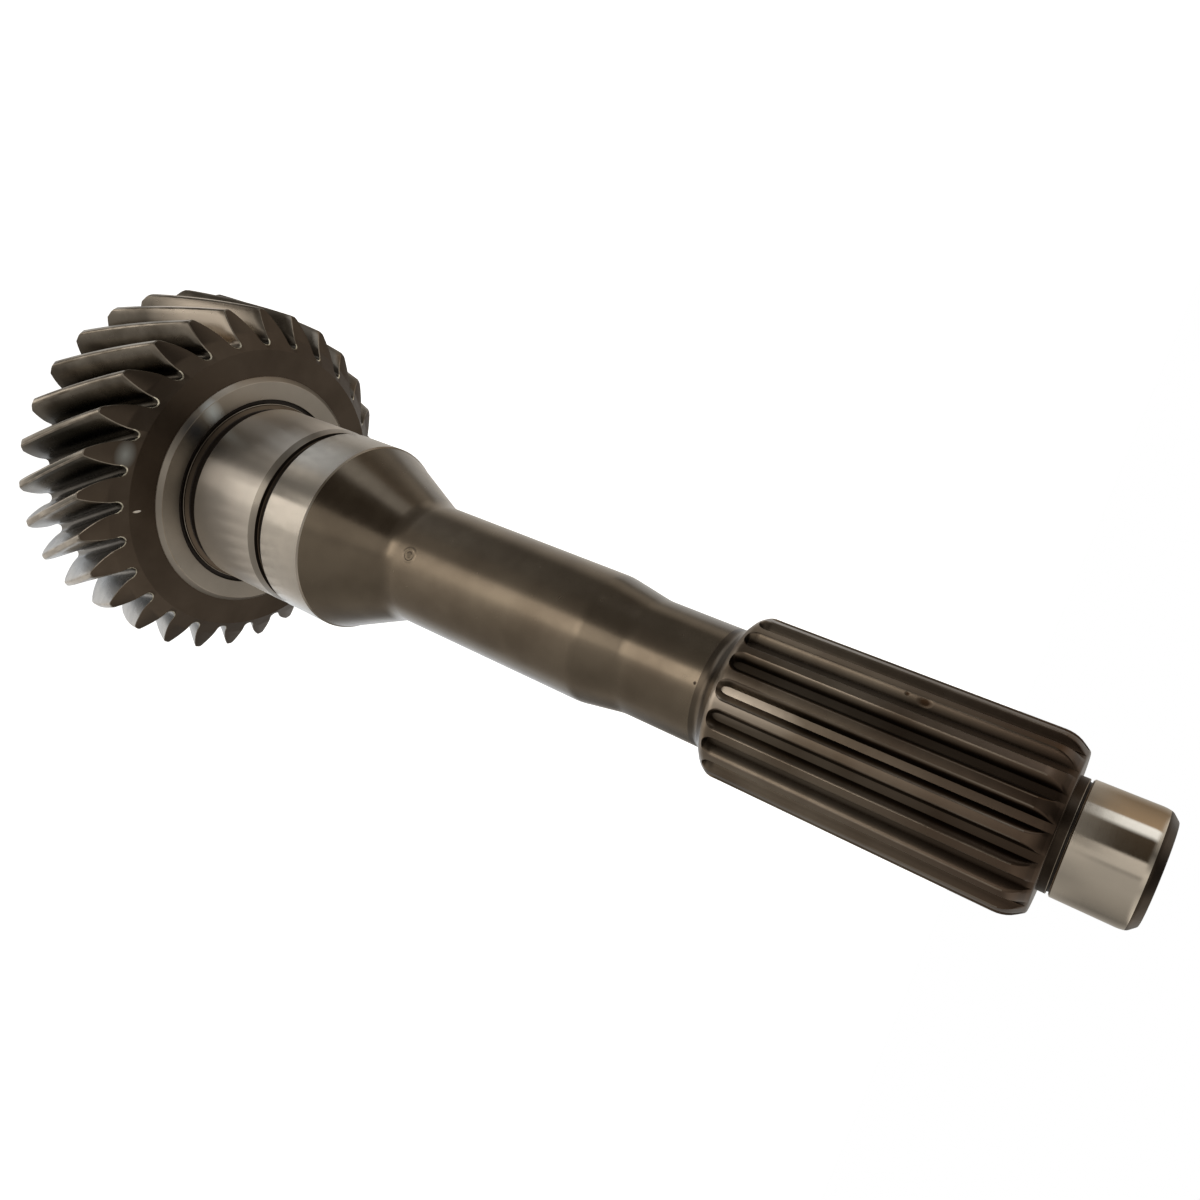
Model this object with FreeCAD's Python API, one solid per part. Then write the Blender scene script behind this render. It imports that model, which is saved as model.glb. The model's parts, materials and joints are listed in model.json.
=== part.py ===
import FreeCAD, Part
import math
import os

# Transmission input shaft, forged and turned from one bar of case-hardening steel.
# Own frame: +Z runs along the shaft from the rear face at the gear end to the pilot nose.
# The origin is the centre of the rear face, on which the shaft stands. Lengths are in
# millimetres and angles in degrees.

# Rear hub behind the gear: synchroniser cone and clutch teeth for direct drive
hub_cone_radius = 36.3
hub_cone_angle = 6.5
hub_cone_length = 11.0
hub_edge_chamfer = 1.0
clutch_teeth = 36
clutch_tip_radius = 42.0
clutch_tooth_height = 3.0
clutch_ring_width = 7.0
clutch_tooth_share = 0.5
clutch_tip_share = 0.28
clutch_chamfer = 1.5
relief_radius = 36.6
relief_width = 2.5

# Pocket in the rear end for the main shaft's spigot bearing
pocket_radius = 20.0
pocket_depth = 32.0
pocket_mouth_chamfer = 1.5

# Centre hole in the nose, which carries the shaft while it is turned and ground
centre_radius = 4.0
centre_angle = 60.0
centre_drill_radius = 2.0
centre_drill_length = 5.0
drill_point_slope = 30.0

# Helical gear, left-hand teeth with a deep profile
gear_teeth = 28
gear_module = 3.2
gear_pressure_angle = 20.0
gear_helix_angle = 29.0
gear_addendum = 4.0
gear_dedendum = 5.6
gear_width = 38.4
gear_front_bevel = 7.5
gear_bevel_inset = 1.3
gear_rear_chamfer = 1.5
gear_crest_angle = 4.8
gear_root_round = 1.6
gear_bore_inset = 4.0
flank_steps = 3
root_steps = 3

# Ground thrust face and bearing journal, with the grinding undercut in their corner
thrust_radius = 36.3
thrust_height = 1.5
thrust_bevel = 1.3
journal_radius = 27.5
journal_length = 28.3
face_groove_offset = 2.0
face_groove_width = 1.3
face_groove_depth = 1.2
undercut_start = 0.7
undercut_length = 3.1
undercut_depth = 1.1
edge_break = 0.4

# Groove for the retaining ring, and the sealing land in front of it
ring_groove_width = 3.2
ring_groove_depth = 1.9
ring_lead_length = 2.0
ring_lead_drop = 0.6
seal_land_length = 15.3

# Cone, neck and waist between the journals and the spline
cone_start_radius = 27.1
cone_length = 22.3
cone_neck_fillet = 12.0
neck_radius = 17.0
neck_length = 62.0
neck_taper_length = 12.2
neck_taper_round = 14.0
waist_radius = 14.9
waist_length = 22.6

# Involute spline for the clutch disc: 40 mm reference, module 2, 18 teeth, 30 degrees
spline_reference = 40.0
spline_module = 2.0
spline_teeth = 18
spline_pressure_angle = 30.0
spline_tip_radius = 19.8
spline_root_radius = 17.7
spline_shoulder_length = 3.1
spline_shoulder_radius = 19.1
spline_lead_length = 1.1
spline_collar = 0.7
spline_length = 70.8
spline_end_length = 3.4
spline_end_drop = 2.6
spline_end_round = 7.0
spline_mouth_margin = 0.3
spline_flank_steps = 2
run_out_steps = 3
spline_crest_angle = 0.0

# Pilot for the flywheel bearing
collar_radius = 12.25
collar_length = 1.8
collar_fillet = 0.8
pilot_radius = 12.5
pilot_length = 16.5
pilot_groove_width = 0.5
pilot_groove_depth = 0.45
nose_chamfer = 1.8
nose_lead = 0.9
nose_lead_drop = 0.3

# Values that follow from the sizes above
gear_pitch_radius = gear_teeth * gear_module / (2.0 * math.cos(math.radians(gear_helix_angle)))
gear_tip_radius = gear_pitch_radius + gear_addendum
gear_root_radius = gear_pitch_radius - gear_dedendum
gear_lead = 2.0 * math.pi * gear_pitch_radius / math.tan(math.radians(gear_helix_angle))
gear_bevel_radius = gear_root_radius - gear_bevel_inset
gear_bore_radius = relief_radius - gear_bore_inset
cut_margin = 2.0

# Stations along the axis
clutch_rear_z = hub_cone_length
clutch_front_z = clutch_rear_z + clutch_ring_width
gear_rear_z = clutch_front_z + relief_width
gear_front_z = gear_rear_z + gear_width
thrust_z = gear_front_z + thrust_height
journal_end_z = thrust_z + journal_length
ring_groove_rear_z = journal_end_z + ring_lead_length
seal_land_z = ring_groove_rear_z + ring_groove_width
cone_start_z = seal_land_z + seal_land_length
neck_start_z = cone_start_z + cone_length
taper_start_z = neck_start_z + neck_length
waist_start_z = taper_start_z + neck_taper_length
waist_end_z = waist_start_z + waist_length
shoulder_end_z = waist_end_z + spline_shoulder_length
spline_start_z = shoulder_end_z + spline_lead_length
spline_end_z = spline_start_z + spline_length
collar_end_z = spline_end_z + collar_length
pilot_start_z = collar_end_z + pilot_groove_width
nose_z = collar_end_z + pilot_length


def point(radius, z):
    return FreeCAD.Vector(radius, 0.0, z)


def polar(radius, angle, z):
    return FreeCAD.Vector(radius * math.cos(angle), radius * math.sin(angle), z)


def involute(angle):
    return math.tan(angle) - angle


def rounded_wire(corners):
    """Closed wire in the XZ plane through (radius, z, fillet) corners."""
    ends = []
    edges = []
    count = len(corners)
    for index in range(count):
        before = point(*corners[index - 1][:2])
        here = point(*corners[index][:2])
        after = point(*corners[(index + 1) % count][:2])
        fillet = corners[index][2]
        if fillet == 0.0:
            ends.append((here, here))
            continue
        back = (before - here).normalize()
        forth = (after - here).normalize()
        half = back.getAngle(forth) / 2.0
        reach = fillet / math.tan(half)
        middle = (back + forth).normalize()
        start = here + back * reach
        finish = here + forth * reach
        crest = here + middle * (fillet / math.sin(half) - fillet)
        edges.append(Part.Arc(start, crest, finish).toShape())
        ends.append((start, finish))
    for index in range(count):
        start = ends[index - 1][1]
        finish = ends[index][0]
        if start.distanceToPoint(finish) > 1e-6:
            edges.append(Part.makeLine(start, finish))
    return Part.Wire(Part.__sortEdges__(edges))


def turned(corners):
    """Solid of revolution about Z of a closed outline of (radius, z, fillet) corners."""
    face = Part.Face(rounded_wire(corners))
    return face.revolve(FreeCAD.Vector(0, 0, 0), FreeCAD.Vector(0, 0, 1), 360)


def hub_outline():
    """Rear hub, clutch-ring core and the part of the shaft that lies inside the gear."""
    cone_drop = hub_cone_length * math.tan(math.radians(hub_cone_angle))
    cone_end_radius = hub_cone_radius - cone_drop
    return [
        (cone_end_radius - hub_edge_chamfer, 0.0, 0.0),
        (cone_end_radius, hub_edge_chamfer, 0.0),
        (hub_cone_radius, clutch_rear_z, 0.0),
        (relief_radius, clutch_rear_z, 0.0),
        (relief_radius, gear_front_z - relief_width, 0.0),
        (thrust_radius, gear_front_z - relief_width, 0.0),
    ]


def journal_outline():
    """Thrust face, corner undercuts, bearing journal, ring groove and sealing land."""
    face_groove_outer = journal_radius + face_groove_offset
    face_groove_inner = face_groove_outer - face_groove_width
    undercut_z = thrust_z + undercut_start
    undercut_end_z = undercut_z + undercut_length
    undercut_radius = journal_radius - undercut_depth
    groove_radius = journal_radius - ring_groove_depth
    return [
        (thrust_radius, thrust_z - thrust_bevel, 0.0),
        (thrust_radius - thrust_bevel, thrust_z, 0.0),
        (face_groove_outer, thrust_z, 0.0),
        (face_groove_outer, thrust_z - face_groove_depth, 0.0),
        (face_groove_inner, thrust_z - face_groove_depth, 0.0),
        (face_groove_inner, thrust_z, 0.0),
        (undercut_radius, undercut_z, 0.0),
        (undercut_radius, undercut_end_z, 0.0),
        (journal_radius - edge_break, undercut_end_z, 0.0),
        (journal_radius, undercut_end_z + edge_break, 0.0),
        (journal_radius, journal_end_z, 0.0),
        (journal_radius - ring_lead_drop, ring_groove_rear_z, 0.0),
        (groove_radius, ring_groove_rear_z, 0.0),
        (groove_radius, seal_land_z, 0.0),
        (journal_radius, seal_land_z, 0.0),
        (journal_radius, cone_start_z - edge_break, 0.0),
    ]


def neck_outline():
    """Cone, neck, taper, waist and the blank of the spline with its rounded end."""
    return [
        (cone_start_radius, cone_start_z, 0.0),
        (neck_radius, neck_start_z, cone_neck_fillet),
        (neck_radius, taper_start_z, neck_taper_round),
        (waist_radius, waist_start_z, neck_taper_round),
        (waist_radius, waist_end_z, 0.0),
        (spline_shoulder_radius, shoulder_end_z, 0.0),
        (spline_tip_radius, spline_start_z, 0.0),
        (spline_tip_radius, spline_end_z - spline_end_length, spline_end_round),
        (spline_tip_radius - spline_end_drop, spline_end_z, 0.0),
    ]


def pilot_outline():
    """Unground collar, pilot journal and nose with its centre hole."""
    centre_depth = centre_radius - centre_drill_radius
    centre_z = nose_z - centre_depth / math.tan(math.radians(centre_angle / 2.0))
    drill_z = centre_z - centre_drill_length
    drill_point = centre_drill_radius * math.tan(math.radians(drill_point_slope))
    groove_radius = pilot_radius - pilot_groove_depth - edge_break
    return [
        (collar_radius + collar_fillet, spline_end_z, 0.0),
        (collar_radius, spline_end_z + collar_fillet, 0.0),
        (collar_radius, collar_end_z, 0.0),
        (groove_radius, collar_end_z, 0.0),
        (groove_radius, pilot_start_z, 0.0),
        (pilot_radius - edge_break, pilot_start_z, 0.0),
        (pilot_radius, pilot_start_z + edge_break, 0.0),
        (pilot_radius, nose_z - nose_chamfer - nose_lead, 0.0),
        (pilot_radius - nose_lead_drop, nose_z - nose_chamfer + nose_lead_drop, 0.0),
        (pilot_radius - nose_chamfer, nose_z, 0.0),
        (centre_radius, nose_z, 0.0),
        (centre_drill_radius, centre_z, 0.0),
        (centre_drill_radius, drill_z, 0.0),
        (0.0, drill_z - drill_point, 0.0),
    ]


def pocket_outline():
    """Flat-bottomed bearing pocket in the rear end, out to its bevelled mouth."""
    return [
        (0.0, pocket_depth, 0.0),
        (pocket_radius, pocket_depth, 0.0),
        (pocket_radius, pocket_mouth_chamfer, 0.0),
        (pocket_radius + pocket_mouth_chamfer, 0.0, 0.0),
    ]


def shaft_core():
    """Everything that is turned, from the rear hub to the nose, as one solid."""
    outline = hub_outline() + journal_outline() + neck_outline()
    return turned(outline + pilot_outline() + pocket_outline())


def gear_half_angle(radius):
    """Half the angle that a gear tooth fills at a radius, constant below the base circle."""
    helix = math.radians(gear_helix_angle)
    normal = math.radians(gear_pressure_angle)
    pressure = math.atan(math.tan(normal) / math.cos(helix))
    base_radius = gear_pitch_radius * math.cos(pressure)
    pitch_half = math.pi / (2.0 * gear_teeth)
    local = math.acos(min(1.0, base_radius / radius))
    return pitch_half + involute(pressure) - involute(local)


def gear_section(z, crest_angle):
    """Closed transverse outline of the gear: involute flanks and fully rounded roots."""
    pitch = 2.0 * math.pi / gear_teeth
    foot_radius = gear_root_radius + gear_root_round
    gap_half = pitch / 2.0 - gear_half_angle(foot_radius)
    rise = (gear_tip_radius - foot_radius) / flank_steps
    points = []
    for tooth in range(gear_teeth):
        crest = crest_angle + tooth * pitch
        for step in range(flank_steps + 1):
            radius = foot_radius + step * rise
            points.append(polar(radius, crest - gear_half_angle(radius), z))
        for step in range(flank_steps, -1, -1):
            radius = foot_radius + step * rise
            points.append(polar(radius, crest + gear_half_angle(radius), z))
        for step in range(1, root_steps):
            around = math.pi * step / root_steps
            radius = foot_radius - gear_root_round * math.sin(around)
            points.append(polar(radius, crest + pitch / 2.0 - gap_half * math.cos(around), z))
    return Part.makePolygon(points + points[:1])


def helical_teeth():
    """Toothed bar twisted to the gear's helix, longer than the gear at both ends."""
    start_z = gear_rear_z - cut_margin
    height = gear_width + 2.0 * cut_margin
    turn = 2.0 * math.pi * (gear_front_z - start_z) / gear_lead
    section = gear_section(start_z, math.radians(gear_crest_angle) + turn)
    guide = Part.makeHelix(gear_lead, height, gear_tip_radius, 0, True)
    guide.translate(FreeCAD.Vector(0, 0, start_z))
    path = Part.Wire(Part.makeLine(point(0, start_z), point(0, start_z + height)))
    sweep = Part.BRepOffsetAPI.MakePipeShell(path)
    sweep.setAuxiliarySpine(Part.Wire(guide), True, 0)
    sweep.add(section)
    sweep.build()
    sweep.makeSolid()
    return sweep.shape()


def gear_blank():
    """Turned ring that the teeth are cut from, bevelled in front and chamfered behind."""
    outer = gear_tip_radius + cut_margin
    bevel_slope = gear_front_bevel / (gear_tip_radius - gear_bevel_radius)
    return turned([
        (gear_bore_radius, gear_rear_z, 0.0),
        (gear_tip_radius - gear_rear_chamfer, gear_rear_z, 0.0),
        (outer, gear_rear_z + gear_rear_chamfer + cut_margin, 0.0),
        (outer, gear_front_z - bevel_slope * (outer - gear_bevel_radius), 0.0),
        (gear_bevel_radius, gear_front_z, 0.0),
        (gear_bore_radius, gear_front_z, 0.0),
    ])


def clutch_ring():
    """Ring of straight clutch teeth with a chamfered rear edge."""
    root_radius = clutch_tip_radius - clutch_tooth_height
    half_pitch = math.pi / clutch_teeth
    corners = [
        (root_radius, -clutch_tooth_share),
        (clutch_tip_radius, -clutch_tip_share),
        (clutch_tip_radius, clutch_tip_share),
        (root_radius, clutch_tooth_share),
    ]
    points = []
    for tooth in range(clutch_teeth):
        for radius, share in corners:
            points.append(polar(radius, (2 * tooth + share) * half_pitch, clutch_rear_z))
    outline = Part.makePolygon(points + points[:1])
    teeth = Part.Face(outline).extrude(FreeCAD.Vector(0, 0, clutch_ring_width))
    blank = turned([
        (gear_bore_radius, clutch_rear_z, 0.0),
        (clutch_tip_radius - clutch_chamfer, clutch_rear_z, 0.0),
        (clutch_tip_radius + cut_margin, clutch_rear_z + clutch_chamfer + cut_margin, 0.0),
        (clutch_tip_radius + cut_margin, clutch_front_z, 0.0),
        (gear_bore_radius, clutch_front_z, 0.0),
    ])
    return teeth.common(blank)


def spline_gap_half_angle(radius):
    """Half the angle of the gap between two spline teeth at a radius."""
    pressure = math.radians(spline_pressure_angle)
    pitch_radius = spline_module * spline_teeth / 2.0
    shift = (spline_reference - spline_module * (spline_teeth + 1.1)) / 2.0
    thickness = math.pi * spline_module / 2.0 + 2.0 * shift * math.tan(pressure)
    local = math.acos(pitch_radius * math.cos(pressure) / radius)
    tooth_half = thickness / (2.0 * pitch_radius) + involute(pressure) - involute(local)
    return math.pi / spline_teeth - tooth_half


def spline_gap():
    """Cutter for one gap: its section run along the shaft, with a tapered round end."""
    mouth_radius = spline_tip_radius + spline_mouth_margin
    rise = (mouth_radius - spline_root_radius) / spline_flank_steps
    flank = []
    for step in range(spline_flank_steps + 1):
        radius = spline_root_radius + step * rise
        flank.append(polar(radius, spline_gap_half_angle(radius), 0.0))
    start_z = shoulder_end_z + spline_collar + flank[-1].y
    one_side = [FreeCAD.Vector(corner.x, corner.y, start_z) for corner in flank]
    other_side = [FreeCAD.Vector(corner.x, -corner.y, start_z) for corner in reversed(flank)]
    outline = Part.makePolygon(one_side + other_side + one_side[:1])
    run = Part.Face(outline).extrude(FreeCAD.Vector(0, 0, spline_end_z - start_z + cut_margin))
    levels = []
    for corner in (flank[0], flank[-1]):
        points = []
        for step in range(run_out_steps + 1):
            around = math.pi * step / run_out_steps
            across = corner.y * math.cos(around)
            points.append(FreeCAD.Vector(corner.x, across, start_z - corner.y * math.sin(around)))
        levels.append(Part.makePolygon(points + points[:1]))
    end = Part.makeLoft(levels, True, True)
    return run.fuse(end)


def spline_gaps():
    """One cutter for each gap between the spline's teeth."""
    cutter = spline_gap()
    pitch = 360.0 / spline_teeth
    gaps = []
    for index in range(spline_teeth):
        gap = cutter.copy()
        angle = spline_crest_angle + (index + 0.5) * pitch
        gap.rotate(FreeCAD.Vector(0, 0, 0), FreeCAD.Vector(0, 0, 1), angle)
        gaps.append(gap)
    return gaps


def input_shaft():
    """The whole shaft as one solid."""
    gear = helical_teeth().common(gear_blank())
    splined = shaft_core().cut(spline_gaps())
    return splined.fuse([gear, clutch_ring()]).removeSplitter()


def save_parts(parts):
    os.makedirs("parts", exist_ok=True)
    for name, shape in parts.items():
        shape.exportStep(os.path.join("parts", name + ".step"))


save_parts({"input_shaft": input_shaft()})
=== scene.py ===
import json
import math

import bmesh
import bpy
from mathutils import Matrix, Vector

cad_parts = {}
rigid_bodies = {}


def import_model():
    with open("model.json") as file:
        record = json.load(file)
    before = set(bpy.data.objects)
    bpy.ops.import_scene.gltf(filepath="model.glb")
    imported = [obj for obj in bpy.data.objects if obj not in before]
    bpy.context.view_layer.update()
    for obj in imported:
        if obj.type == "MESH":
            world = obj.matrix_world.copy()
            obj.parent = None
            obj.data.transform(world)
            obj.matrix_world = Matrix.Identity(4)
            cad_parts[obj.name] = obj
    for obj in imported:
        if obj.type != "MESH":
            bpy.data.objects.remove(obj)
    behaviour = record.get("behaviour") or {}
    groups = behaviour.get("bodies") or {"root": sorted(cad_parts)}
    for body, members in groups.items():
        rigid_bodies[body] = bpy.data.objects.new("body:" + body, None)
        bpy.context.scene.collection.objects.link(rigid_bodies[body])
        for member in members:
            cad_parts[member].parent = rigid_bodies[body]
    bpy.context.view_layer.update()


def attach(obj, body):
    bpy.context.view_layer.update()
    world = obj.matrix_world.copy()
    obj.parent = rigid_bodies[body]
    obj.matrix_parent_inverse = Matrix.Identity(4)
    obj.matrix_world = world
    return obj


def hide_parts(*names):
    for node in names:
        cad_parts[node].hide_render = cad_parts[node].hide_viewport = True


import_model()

shaft_node = "input_shaft"
millimetre = 0.001

# Camera: it stands in front of the shaft at the height of its spline and looks down on the
# gear. It is rolled on its side, so the standing shaft runs across the frame to the nose.
camera_place = Vector((0.0, -0.2242, 0.3097))
camera_right = Vector((-0.39236, 0.43043, 0.81289))
camera_down = Vector((0.91921, 0.21548, 0.32957))
camera_forward = Vector((-0.03330, 0.87652, -0.48021))
camera_lens = 30.108
camera_sensor = 36.0

camera = bpy.data.objects.new("camera", bpy.data.cameras.new("camera"))
bpy.context.scene.collection.objects.link(camera)
camera.data.sensor_width = camera_sensor
camera.data.lens = camera_lens
turn = Matrix((camera_right, -camera_down, -camera_forward)).transposed()
camera.matrix_world = Matrix.Translation(camera_place) @ turn.to_4x4()
bpy.context.scene.camera = camera

# Turned body: the bar from the bearing pocket at the rear to the nose, turned all over and
# hardened to a dark skin, then ground on its seats, with black oil left in its grooves.
skin_colour = (0.215, 0.176, 0.131)
skin_shade = (0.160, 0.128, 0.094)
ground_colour = (0.636, 0.582, 0.516)
ground_shade = (0.552, 0.510, 0.456)
sealing_colour = (0.414, 0.380, 0.333)
sealing_shade = (0.370, 0.341, 0.301)
lapped_colour = (0.340, 0.305, 0.262)
lapped_shade = (0.290, 0.262, 0.225)
pilot_colour = (0.730, 0.655, 0.550)
pilot_shade = (0.640, 0.580, 0.495)
groove_colour = (0.026, 0.019, 0.014)
deep_brown_colour = (0.090, 0.069, 0.051)
browned_colour = (0.105, 0.082, 0.060)
worn_colour = (0.400, 0.360, 0.310)
# Painted dark reflection and painted bright reflection on the thrust ring.
shadow_colour = (0.120, 0.120, 0.130)
glint_colour = (0.750, 0.820, 0.850)
stamp_place = (0.0, -17.0, 138.2)
stamp_radius = 2.3
stamp_depth = 0.12
stamp_strength = 0.9
stamp_profile = [
    (0.0, 0.55), (0.3, 0.6), (0.42, 0.1), (0.6, 0.15), (0.72, 1.0), (0.86, 0.9), (1.0, 0.6)]
stamp_colour = (0.105, 0.085, 0.062)
pit_place = (1.3, -14.84, 225.5)
pit_profile = [(0.6, 0.0), (1.0, 1.0)]
pit_strength = 0.8
cloud_shade_end = 0.34
cloud_colour_start = 0.62
cloud_detail = 7.0
speck_scale = 450.0
speck_detail = 4.0
mark_depth = 0.02
quarter_turn = 0.25


def spot(material, place, half_sizes, turn=0.0):
    """Socket that is 0 in the middle of an ellipsoid at a place in mm and 1 on its surface."""
    nodes = material.node_tree.nodes
    links = material.node_tree.links
    where = nodes.new("ShaderNodeTexCoord")
    local = nodes.new("ShaderNodeMapping")
    local.vector_type = "TEXTURE"
    local.inputs["Location"].default_value = [value * millimetre for value in place]
    local.inputs["Rotation"].default_value = (0.0, 0.0, math.radians(turn))
    local.inputs["Scale"].default_value = [value * millimetre for value in half_sizes]
    links.new(where.outputs["Object"], local.inputs["Vector"])
    away = nodes.new("ShaderNodeVectorMath")
    away.operation = "LENGTH"
    links.new(local.outputs["Vector"], away.inputs[0])
    return away.outputs["Value"]


def ramp(material, socket, stops):
    """Colour ramp on a socket; a stop is its position and a grey level or a colour."""
    made = material.node_tree.nodes.new("ShaderNodeValToRGB")
    elements = made.color_ramp.elements
    while len(elements) < len(stops):
        elements.new(0.5)
    for element, (position, level) in zip(elements, stops):
        element.position = position
        element.color = (level,) * 3 + (1.0,) if isinstance(level, float) else (*level, 1.0)
    material.node_tree.links.new(socket, made.inputs["Fac"])
    return made.outputs["Color"]


def mixed(material, factor, one, other, blend="MIX"):
    """Mix of two colours; the factor and the second colour may each be a socket or a value."""
    mix = material.node_tree.nodes.new("ShaderNodeMix")
    mix.data_type = "RGBA"
    mix.blend_type = blend
    for name, value in (("Factor", factor), ("A", one), ("B", other)):
        if isinstance(value, bpy.types.NodeSocket):
            material.node_tree.links.new(value, mix.inputs[name])
        else:
            mix.inputs[name].default_value = value if name == "Factor" else (*value, 1.0)
    return mix.outputs["Result"]


def steel(name, colour, shade, roughness, metallic=1.0, along=0.0, grain=0.2, marks=0.3,
          mark_pitch=0.25, cloud_size=16.0, by_radius=None, far_tint=None, patches=(),
          stamp=None, spread=0.2):
    """Metal with cloudy colour, uneven roughness and turning marks; lengths are in mm.

    along stretches the highlights along the shaft, by_radius dims the colour by the radius,
    far_tint is a colour and two heights between which it takes over. A patch is (place, half
    sizes, turn, colour, share of it that is solid colour, depth of its bump). spread is how far
    the roughness strays either way, as a share of it.
    """
    material = bpy.data.materials.new(name)
    material.use_nodes = True
    nodes = material.node_tree.nodes
    links = material.node_tree.links
    shader = nodes["Principled BSDF"]
    shader.inputs["Metallic"].default_value = metallic
    shader.inputs["Anisotropic"].default_value = along
    shader.inputs["Anisotropic Rotation"].default_value = quarter_turn
    around = nodes.new("ShaderNodeTangent")
    around.direction_type = "RADIAL"
    around.axis = "Z"
    links.new(around.outputs["Tangent"], shader.inputs["Tangent"])
    where = nodes.new("ShaderNodeTexCoord")
    cloud = nodes.new("ShaderNodeTexNoise")
    cloud.inputs["Scale"].default_value = 1.0 / (cloud_size * millimetre)
    cloud.inputs["Detail"].default_value = cloud_detail
    links.new(where.outputs["Object"], cloud.inputs["Vector"])
    tones = [(cloud_shade_end, shade), (cloud_colour_start, colour)]
    tone = ramp(material, cloud.outputs["Fac"], tones)
    split = nodes.new("ShaderNodeSeparateXYZ")
    links.new(where.outputs["Object"], split.inputs["Vector"])
    if far_tint:
        tint_colour, from_height, to_height = far_tint
        far = nodes.new("ShaderNodeMapRange")
        far.inputs["From Min"].default_value = from_height * millimetre
        far.inputs["From Max"].default_value = to_height * millimetre
        links.new(split.outputs["Z"], far.inputs["Value"])
        tone = mixed(material, far.outputs["Result"], tone, tint_colour)
    across = nodes.new("ShaderNodeVectorMath")
    across.operation = "MULTIPLY"
    across.inputs[1].default_value = (1.0, 1.0, 0.0)
    links.new(where.outputs["Object"], across.inputs[0])
    reach = nodes.new("ShaderNodeVectorMath")
    reach.operation = "LENGTH"
    links.new(across.outputs["Vector"], reach.inputs[0])
    if by_radius:
        inner, outer = by_radius[0][0], by_radius[-1][0]
        scaled = nodes.new("ShaderNodeMapRange")
        scaled.inputs["From Min"].default_value = inner * millimetre
        scaled.inputs["From Max"].default_value = outer * millimetre
        links.new(reach.outputs["Value"], scaled.inputs["Value"])
        stops = [((radius - inner) / (outer - inner), level) for radius, level in by_radius]
        dimmed = ramp(material, scaled.outputs["Result"], stops)
        tone = mixed(material, 1.0, tone, dimmed, blend="MULTIPLY")
    for place, half_sizes, patch_turn, patch_colour, solid, _ in patches:
        away = spot(material, place, half_sizes, patch_turn)
        cover = ramp(material, away, [(solid, 1.0), (1.0, 0.0)])
        tone = mixed(material, cover, tone, patch_colour)
    links.new(tone, shader.inputs["Base Color"])
    speck = nodes.new("ShaderNodeTexNoise")
    speck.inputs["Scale"].default_value = speck_scale
    speck.inputs["Detail"].default_value = speck_detail
    links.new(where.outputs["Object"], speck.inputs["Vector"])
    rough = nodes.new("ShaderNodeMapRange")
    rough.inputs["To Min"].default_value = roughness * (1.0 - spread)
    rough.inputs["To Max"].default_value = roughness * (1.0 + spread)
    links.new(speck.outputs["Fac"], rough.inputs["Value"])
    links.new(rough.outputs["Result"], shader.inputs["Roughness"])
    # Radius plus height counts the turns of the tool on a cylinder, a cone or a flat face.
    travel = nodes.new("ShaderNodeMath")
    travel.operation = "ADD"
    links.new(reach.outputs["Value"], travel.inputs[0])
    links.new(split.outputs["Z"], travel.inputs[1])
    tool = nodes.new("ShaderNodeTexNoise")
    tool.noise_dimensions = "1D"
    tool.inputs["Scale"].default_value = 1.0 / (mark_pitch * millimetre)
    links.new(travel.outputs["Value"], tool.inputs["W"])
    normal = None
    heights = [
        (tool.outputs["Fac"], marks, mark_depth),
        (speck.outputs["Fac"], grain, mark_depth)]
    if stamp:
        pressed = ramp(material, spot(material, *stamp), stamp_profile)
        heights.append((pressed, stamp_strength, stamp_depth))
    for place, half_sizes, patch_turn, _, _, pitted in patches:
        if pitted:
            away = spot(material, place, half_sizes, patch_turn)
            heights.append((ramp(material, away, pit_profile), pit_strength, pitted))
    for height, strength, distance in heights:
        bump = nodes.new("ShaderNodeBump")
        bump.inputs["Strength"].default_value = strength
        bump.inputs["Distance"].default_value = distance * millimetre
        links.new(height, bump.inputs["Height"])
        if normal:
            links.new(normal, bump.inputs["Normal"])
        normal = bump.outputs["Normal"]
    links.new(normal, shader.inputs["Normal"])
    return material


skin = steel(
    "turned_skin", skin_colour, skin_shade, 0.25, along=0.5, grain=0.05, marks=0.12,
    patches=[
        (pit_place, (0.4, 0.4, 0.4), 0.0, groove_colour, 0.4, 0.06),
        (stamp_place, (1.6, 1.6, 1.6), 0.0, stamp_colour, 0.3, 0.0)],
    stamp=(stamp_place, (stamp_radius,) * 3))
ground = steel(
    "ground_seat", ground_colour, ground_shade, 0.29, along=1.0, grain=0.03, marks=0.15,
    mark_pitch=0.1, spread=0.04)
sealing = steel(
    "ground_land", sealing_colour, sealing_shade, 0.17, along=1.0, grain=0.03, marks=0.15,
    mark_pitch=0.1)
lapped = steel(
    "thrust_ring", lapped_colour, lapped_shade, 0.30, along=0.8, grain=0.1, marks=0.4,
    mark_pitch=0.1,
    # The two patches are a painted dark reflection and a painted bright reflection on the ring's
    # face.
    patches=[
        ((-8.6, -31.6, 60.4), (4.6, 5.5, 3.0), -16.0, shadow_colour, 0.2, 0.0),
        ((-15.4, -28.6, 60.4), (3.6, 6.5, 3.0), -28.0, glint_colour, 0.1, 0.0)])
polished = steel(
    "ground_pilot", pilot_colour, pilot_shade, 0.11, along=0.8, grain=0.1, marks=0.15,
    mark_pitch=0.1)
groove = steel("black_groove", groove_colour, groove_colour, 0.45, metallic=0.5)
# A dark finish that paints shade on the collar behind the spline and on the nose's rounding and
# end face.
painted_shade_steel = steel("painted_shade_dark", deep_brown_colour, groove_colour, 0.40, along=0.4)
browned = steel("browned_rib", browned_colour, deep_brown_colour, 0.35, along=0.4)
worn = steel("worn_edge", worn_colour, skin_colour, 0.30)
finishes = [skin, ground, sealing, lapped, polished, groove, painted_shade_steel, browned, worn]
SKIN, GROUND, LAND, RING, POLISHED, GROOVE, PAINTED_SHADE, RIB, WORN = range(len(finishes))

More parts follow.
